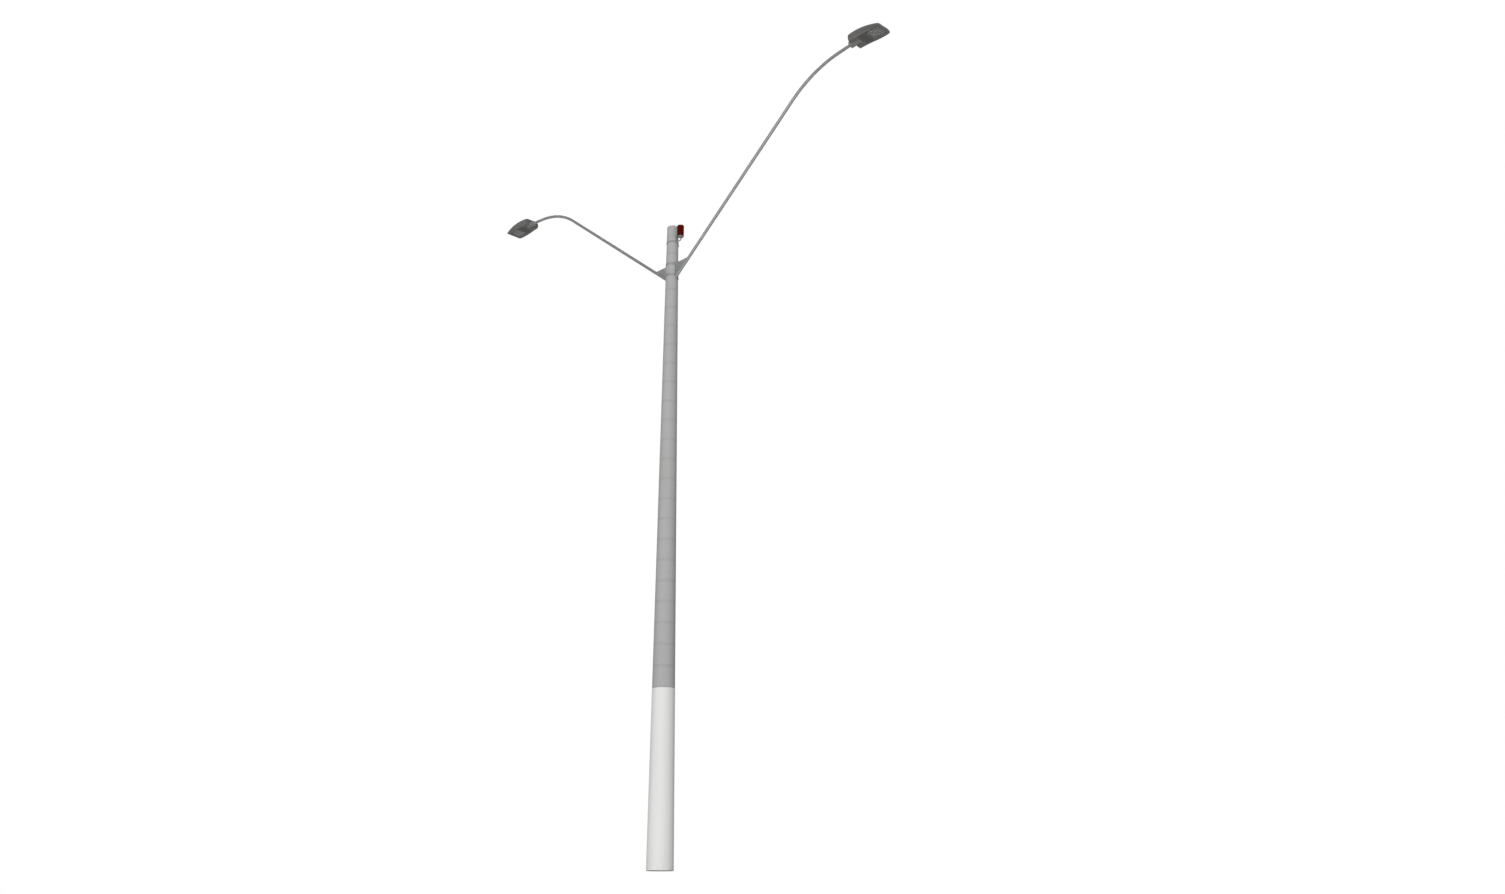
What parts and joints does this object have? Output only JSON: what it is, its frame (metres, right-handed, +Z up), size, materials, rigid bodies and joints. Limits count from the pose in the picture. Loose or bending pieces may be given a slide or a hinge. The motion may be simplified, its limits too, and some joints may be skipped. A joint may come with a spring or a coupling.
{
  "type": "twin-arm street light",
  "caption": "Twin-arm street-lighting column: tapered hollow concrete post, two long curved tube arms with tilting LED road lanterns, service door and red obstruction light.",
  "frame": {"origin": "centre of the post at the ground line, on the axis of the cable duct in its foot", "axes": "+Z up the post, +X along the right arm, +Y out of the service door"},
  "size_m": [9.2398, 0.3948, 11.8775],
  "materials": {
    "spun_concrete": "spun concrete with faint rings",
    "white_paint": "matt white masonry paint",
    "galvanised_steel": "hot-dip galvanised, dulled",
    "galvanised_tube": "hot-dip galvanised tube, dulled",
    "zinc_bolts": "zinc plated",
    "door_paint": "grey powder coat",
    "black_rubber": "matt",
    "brass_lock": "dull",
    "black_moulding": "moulded",
    "grey_moulding": "moulded",
    "cable_sheath": "extruded sheath",
    "lantern_casting": "dark grey powder coat, fine texture",
    "fitter_casting": "grey powder coat",
    "cover_casting": "dark grey powder coat",
    "driver_case": "extruded, satin",
    "led_board": "white solder mask",
    "clear_lens": "moulded acrylic optics",
    "lamp_casting": "grey powder coat",
    "red_lens": "deep red glass with prism rings"
  },
  "bodies": {
    "root": {"band_bolts": "zinc_bolts", "concrete_post": "spun_concrete", "door_frame": "galvanised_steel", "door_hinge_pins": "zinc_bolts", "door_seal": "black_rubber", "earth_stud": "brass_lock", "fuse_board": "galvanised_steel", "fuse_unit": "black_moulding", "lamp_band": "galvanised_steel", "lamp_base": "lamp_casting", "lamp_core": "black_moulding", "lamp_pipe": "galvanised_steel", "lamp_saddle": "galvanised_steel", "lamp_seal": "black_rubber", "left_arm_gusset": "galvanised_steel", "left_arm_saddle": "galvanised_steel", "left_arm_tube": "galvanised_tube", "left_clamp_screws": "zinc_bolts", "left_feed_cable": "cable_sheath", "left_slip_fitter": "fitter_casting", "lower_arm_band": "galvanised_steel", "paint_coat": "white_paint", "right_arm_gusset": "galvanised_steel", "right_arm_saddle": "galvanised_steel", "right_arm_tube": "galvanised_tube", "right_clamp_screws": "zinc_bolts", "right_feed_cable": "cable_sheath", "right_slip_fitter": "fitter_casting", "top_cap": "galvanised_steel", "upper_arm_band": "galvanised_steel"},
    "left_head": {"left_head_housing": "lantern_casting", "left_tilt_bolt": "zinc_bolts", "left_cover_pins": "zinc_bolts", "left_cover_seal": "black_rubber", "left_led_driver": "driver_case", "left_surge_protector": "grey_moulding", "left_terminal_block": "grey_moulding", "left_led_board": "led_board", "left_lens_plate": "clear_lens"},
    "left_gear_cover": {"left_gear_cover": "cover_casting"},
    "left_cover_latch_1": {"left_cover_latch_1": "zinc_bolts"},
    "left_cover_latch_2": {"left_cover_latch_2": "zinc_bolts"},
    "left_fuse_carrier": {"left_fuse_carrier": "grey_moulding"},
    "right_head": {"right_head_housing": "lantern_casting", "right_tilt_bolt": "zinc_bolts", "right_cover_pins": "zinc_bolts", "right_cover_seal": "black_rubber", "right_led_driver": "driver_case", "right_surge_protector": "grey_moulding", "right_terminal_block": "grey_moulding", "right_led_board": "led_board", "right_lens_plate": "clear_lens"},
    "right_gear_cover": {"right_gear_cover": "cover_casting"},
    "right_cover_latch_1": {"right_cover_latch_1": "zinc_bolts"},
    "right_cover_latch_2": {"right_cover_latch_2": "zinc_bolts"},
    "right_fuse_carrier": {"right_fuse_carrier": "grey_moulding"},
    "service_door": {"service_door": "door_paint"},
    "door_lock": {"door_lock": "brass_lock"},
    "lamp_lens": {"lamp_lens": "red_lens"}
  },
  "joints": [
    {"name": "left_head_tilt", "type": "hinge", "parent": "root", "child": "left_head", "pos_m": [-4.14993, 0, 11.79847], "axis": [0, 1, 0], "range_deg": [-10, 10]},
    {"name": "left_cover_hinge", "type": "hinge", "parent": "left_head", "child": "left_gear_cover", "pos_m": [-4.33843, 0, 11.74947], "axis": [0, 1, 0], "range_deg": [0, 95]},
    {"name": "left_latch_1_turn", "type": "hinge", "parent": "left_gear_cover", "child": "left_cover_latch_1", "pos_m": [-4.23193, 0.08, 11.74947], "axis": [0, 0, 1], "range_deg": [0, 90]},
    {"name": "left_latch_2_turn", "type": "hinge", "parent": "left_gear_cover", "child": "left_cover_latch_2", "pos_m": [-4.23193, -0.08, 11.74947], "axis": [0, 0, 1], "range_deg": [0, 90]},
    {"name": "right_head_tilt", "type": "hinge", "parent": "root", "child": "right_head", "pos_m": [4.14993, 0, 11.79847], "axis": [0, -1, 0], "range_deg": [-10, 10]},
    {"name": "right_cover_hinge", "type": "hinge", "parent": "right_head", "child": "right_gear_cover", "pos_m": [4.33843, 0, 11.74947], "axis": [0, -1, 0], "range_deg": [0, 95]},
    {"name": "right_latch_1_turn", "type": "hinge", "parent": "right_gear_cover", "child": "right_cover_latch_1", "pos_m": [4.23193, -0.08, 11.74947], "axis": [0, 0, 1], "range_deg": [0, 90]},
    {"name": "right_latch_2_turn", "type": "hinge", "parent": "right_gear_cover", "child": "right_cover_latch_2", "pos_m": [4.23193, 0.08, 11.74947], "axis": [0, 0, 1], "range_deg": [0, 90]},
    {"name": "service_door_hinge", "type": "hinge", "parent": "root", "child": "service_door", "pos_m": [-0.067, 0.1815, 0.75], "axis": [0, 0, 1], "range_deg": [0, 110]},
    {"name": "door_lock_turn", "type": "hinge", "parent": "service_door", "child": "door_lock", "pos_m": [0.03, 0.18, 0.75], "axis": [0, 1, 0], "range_deg": [0, 90]},
    {"name": "left_fuse_pull", "type": "slide", "parent": "root", "child": "left_fuse_carrier", "axis": [0, 1, 0], "range_m": [0, 0.04]},
    {"name": "right_fuse_pull", "type": "slide", "parent": "root", "child": "right_fuse_carrier", "axis": [0, 1, 0], "range_m": [0, 0.04]},
    {"name": "lamp_lens_turn", "type": "hinge", "parent": "root", "child": "lamp_lens", "pos_m": [0.193, 0, 9.98], "axis": [0, 0, 1], "range_deg": [0, 30]}
  ]
}
